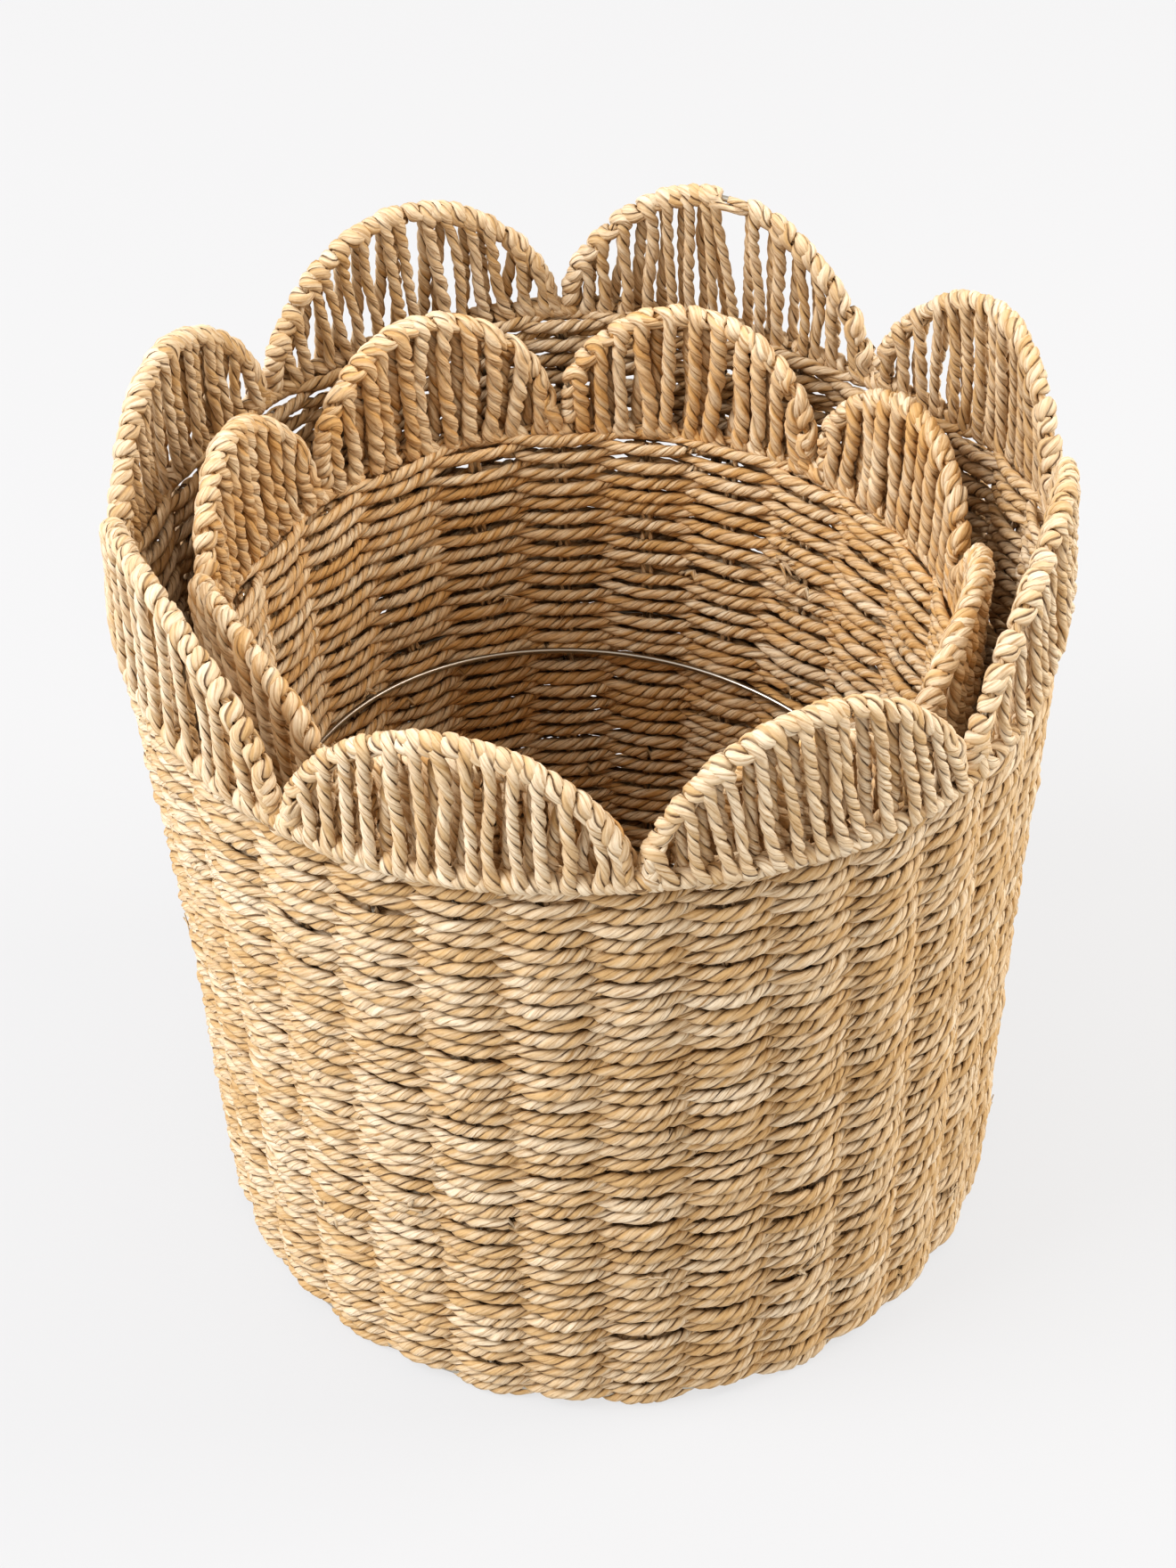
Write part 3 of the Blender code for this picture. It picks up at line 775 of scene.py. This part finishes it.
def scallop_runs(basket, number, rng):
    """The ropes of one scallop: strands wound over the arch wire and under the rim ring, and a coil."""
    middle = FIRST_NOTCH + SCALLOP_ANGLE * (number + 0.5)
    half = SCALLOP_ANGLE / 2.0
    ring_radius = basket["ring_radius"]
    strands = round(ring_radius * SCALLOP_ANGLE / STRAND_STEP)
    step = SCALLOP_ANGLE / strands
    level = np.array([0.0, 0.0, basket["bottom"] + basket["ring_height"]])
    upward = np.array([0.0, 0.0, 1.0])
    shares = np.linspace(-1.2, 1.2, 1200)
    arch_line, _ = arch_point(basket, middle, shares)
    lengths = np.concatenate([[0.0], np.cumsum(np.linalg.norm(np.diff(arch_line, axis=0), axis=1))])
    feet = middle + half - step * (np.arange(strands) + 0.5 + rng.normal(0.0, 0.10, strands))
    lean = basket["strand_lean"][number] + rng.normal(0.0, 0.15, strands)
    top_shares = np.clip((feet - step * lean - middle) / arch_reach(basket), -0.985, 0.985)
    tops = np.interp(top_shares, shares, lengths)
    cross = basket["strand_cross"][number] + rng.normal(0.0, 0.10, strands)
    backs = np.maximum(feet - step * cross, middle - half + 0.25 * step)
    bare = basket["bare_spot"] == number
    crown = float(np.interp(0.0, shares, lengths))
    if bare:
        away = tops - crown
        tops = tops + np.sign(away) * 0.0016 * np.exp(-np.abs(away) / 0.02)

    slant_share = basket["wrap_slant"][number]
    slants = slant_share * np.diff(np.append(tops, 0.0))
    if bare:
        slants[np.sum(tops > crown) - 1] = -0.0005

    def on_arch(length):
        """Place on the arch wire at a length along it."""
        return arch_frame(basket, middle, np.array(np.interp(length, lengths, shares)))

    def on_ring(angle):
        """Place on the rim ring at an angle round it."""
        out = around(np.array(angle))
        return ring_radius * out + level, out, upward

    def round_ring(lay, stops, begin, end):
        """stops: pairs of swing and angle, between which the rope moves along the ring."""
        swings, angles = zip(*stops)
        lay.turn(lambda swing: on_ring(np.interp(swing, swings, angles)), begin, end, rng.uniform(0.95, 1.10))

    strand_lay = Lay(basket)
    round_ring(strand_lay, ((90.0, middle + half), (720.0, feet[0])), 90.0, 720.0)
    for j in range(strands):
        last_one = j + 1 == strands
        fat = rng.uniform(0.95, 1.12)
        slim = rng.uniform(0.86, 1.10) * basket["strand_size"]
        centre, out, _ = on_arch(tops[j])
        foot, foot_out, _ = on_ring(feet[j])
        strand_lay.strand(foot + TURN_RADIUS * foot_out, centre + TURN_RADIUS * out, foot_out,
                          rng.normal(0.0, 0.0013), rng.normal(0.0, 0.0008), slim)
        strand_lay.turn(lambda swing: on_arch(tops[j] + slants[j] * swing / 180.0), 0.0, 180.0, fat)
        centre, out, _ = on_arch(tops[j] + slants[j])
        back, back_out, _ = on_ring(backs[j])
        strand_lay.strand(centre - TURN_RADIUS * out, back - TURN_RADIUS * back_out, -back_out,
                          rng.normal(0.0, 0.0013), rng.normal(0.0, 0.0008), slim)
        after = middle - half if last_one else feet[j + 1]
        stub = feet[j] - 0.5 * step if not last_one else 0.5 * (feet[j] + after)
        under = ((180.0, backs[j]), (360.0, stub), (450.0, stub - 0.04 * step), (720.0, after))
        round_ring(strand_lay, under, 180.0, 720.0)

    # the binding coil fills the arch wire between the strands, one turn at a time
    stops = np.concatenate([[lengths[-1]], tops, [0.0]])
    coil_at, coil_slants = [], []
    for j, (high, low) in enumerate(zip(stops[:-1], stops[1:])):
        room = high - low
        open_here = bare and low < crown < high
        turns = 0 if open_here else max(1, round(room / TURN_STEP) - (0 if j in (0, strands) else 1))
        first = 0.5 if j == 0 else 1.0
        shares_of_room = turns + (0.5 if j in (0, strands) else 1.0)
        coil_at += [high - room * (i + first) / shares_of_room for i in range(turns)]
        coil_slants += [-0.5 * slant_share * min(room, STRAND_STEP)] * turns
    coil = Lay(basket)
    last_at = max(coil_at[-1] - 0.003, 0.0005)
    for here, following, slant in zip(coil_at, coil_at[1:] + [last_at], coil_slants):
        fat = rng.uniform(0.88, 1.10)
        slant = slant + rng.normal(0.0, 0.0006)
        back = max(here + slant, 0.0005)
        coil.turn(lambda swing: on_arch(here + (back - here) * swing / 180.0), 0.0, 180.0, fat)
        coil.turn(lambda swing: on_arch(back + (following - back) * (swing - 180.0) / 180.0),
                  200.0, 340.0, fat)
    runs = [strand_lay.run(rng), coil.run(rng)]

    # thin paper binding right on the wires
    windows = [(-1.19, 1.19)] if not bare else [(-1.19, -0.03), (0.03, 1.19)]
    for low, high in windows:
        line, angle = arch_point(basket, middle, np.linspace(low, high, 110))
        runs.append(rope(settle(line, basket), around(angle), rng, SLEEVE, SLEEVE, False, 0.4, 0.3))
    angle = np.linspace(middle - half, middle + half, 60)
    line = ring_radius * around(angle) + level
    runs.append(rope(settle(line, basket), around(angle), rng, SLEEVE, SLEEVE, False, 0.4, 0.3))
    return runs


def make_scallops(basket, material):
    """The eight scallops, each with its arch wire."""
    rng = np.random.default_rng(basket["seed"] + 3)
    for number in range(SCALLOPS):
        runs = scallop_runs(basket, number, rng)
        label = f"{basket['name']}_scallop_{number + 1}"
        make_piece(label, runs, material, basket, [label])
        middle = FIRST_NOTCH + SCALLOP_ANGLE * (number + 0.5)
        points, angle = arch_point(basket, middle, np.linspace(-1.199, 1.199, 90))
        label = f"{basket['name']}_arch_wire_{number + 1}"
        make_piece(label, [wire(settle(points, basket), around(angle))], STEEL, basket, [label])


for the_basket, its_rope in ((OUTER, OUTER_ROPE), (INNER, INNER_ROPE)):
    make_wall(the_basket, its_rope)
    make_floor(the_basket, its_rope)
    make_stakes(the_basket, its_rope)
    make_hoops(the_basket)
    make_scallops(the_basket, its_rope)


# ---- floor, lights and camera ---------------------------------------------------
def make_stage():
    """Wide floor of matt pale card, which glows a little so that it stays even out to its edge."""
    material, tree, shader = new_material("pale_matt_card")
    shader.inputs["Base Color"].default_value = colour("#5E5E5E")
    shader.inputs["Roughness"].default_value = 0.9
    shader.inputs["Emission Color"].default_value = colour("#FDFDFE")
    shader.inputs["Emission Strength"].default_value = 0.516
    mesh = bpy.data.meshes.new("studio_floor")
    rim = FLOOR_REACH * around(np.linspace(0.0, 2.0 * math.pi, 65)[:-1])
    mesh.from_pydata(rim.tolist(), [], [tuple(range(len(rim)))])
    mesh.materials.append(material)
    floor = bpy.data.objects.new("studio_floor", mesh)
    floor.location.z = -0.0005
    bpy.context.scene.collection.objects.link(floor)


def add_softbox(name, place, aim, size, power, tint):
    """A square light in a diffusing box, turned towards aim."""
    data = bpy.data.lights.new(name, "AREA")
    data.shape = "SQUARE"
    data.size = size
    data.energy = power
    data.color = colour(tint)[:3]
    lamp = bpy.data.objects.new(name, data)
    lamp.location = place
    lamp.rotation_mode = "QUATERNION"
    lamp.rotation_quaternion = (Vector(aim) - Vector(place)).to_track_quat("-Z", "Y")
    bpy.context.scene.collection.objects.link(lamp)


def make_lights():
    """A pale room, a large softbox high on the left and a small one low on the right."""
    world = bpy.data.worlds.new("pale_room")
    world.use_nodes = True
    background = world.node_tree.nodes["Background"]
    background.inputs["Color"].default_value = colour("#FFFAF4")
    background.inputs["Strength"].default_value = 0.645
    bpy.context.scene.world = world
    aim = (0.0, 0.0, 0.25)
    add_softbox("left_softbox", (-2.40, -0.76, 2.75), aim, 2.1, 83.0, "#F3F7FF")
    add_softbox("right_softbox", (1.45, 0.15, 1.40), aim, 0.8, 13.0, "#FFFCF9")


def make_camera():
    """Long lens, a little under a metre and a half away, looking down into the baskets."""
    data = bpy.data.cameras.new("camera")
    data.sensor_width = 36.0
    data.lens = 73.64
    data.shift_x = -0.0088
    data.shift_y = 0.0488
    data.clip_start, data.clip_end = 0.05, 50.0
    camera = bpy.data.objects.new("camera", data)
    elevation = math.radians(42.92)
    distance = 1.478
    target = Vector((0.0, 0.0, 0.1682))
    back = Vector((0.0, -math.cos(elevation), math.sin(elevation)))
    camera.location = target + back * distance
    camera.rotation_mode = "QUATERNION"
    roll = Quaternion((0.0, 0.0, 1.0), math.radians(-1.27))
    camera.rotation_quaternion = (-back).to_track_quat("-Z", "Y") @ roll
    bpy.context.scene.collection.objects.link(camera)
    bpy.context.scene.camera = camera


make_stage()
make_lights()
make_camera()
bpy.context.scene.view_settings.view_transform = "Standard"
bpy.context.scene.view_settings.look = "High Contrast"
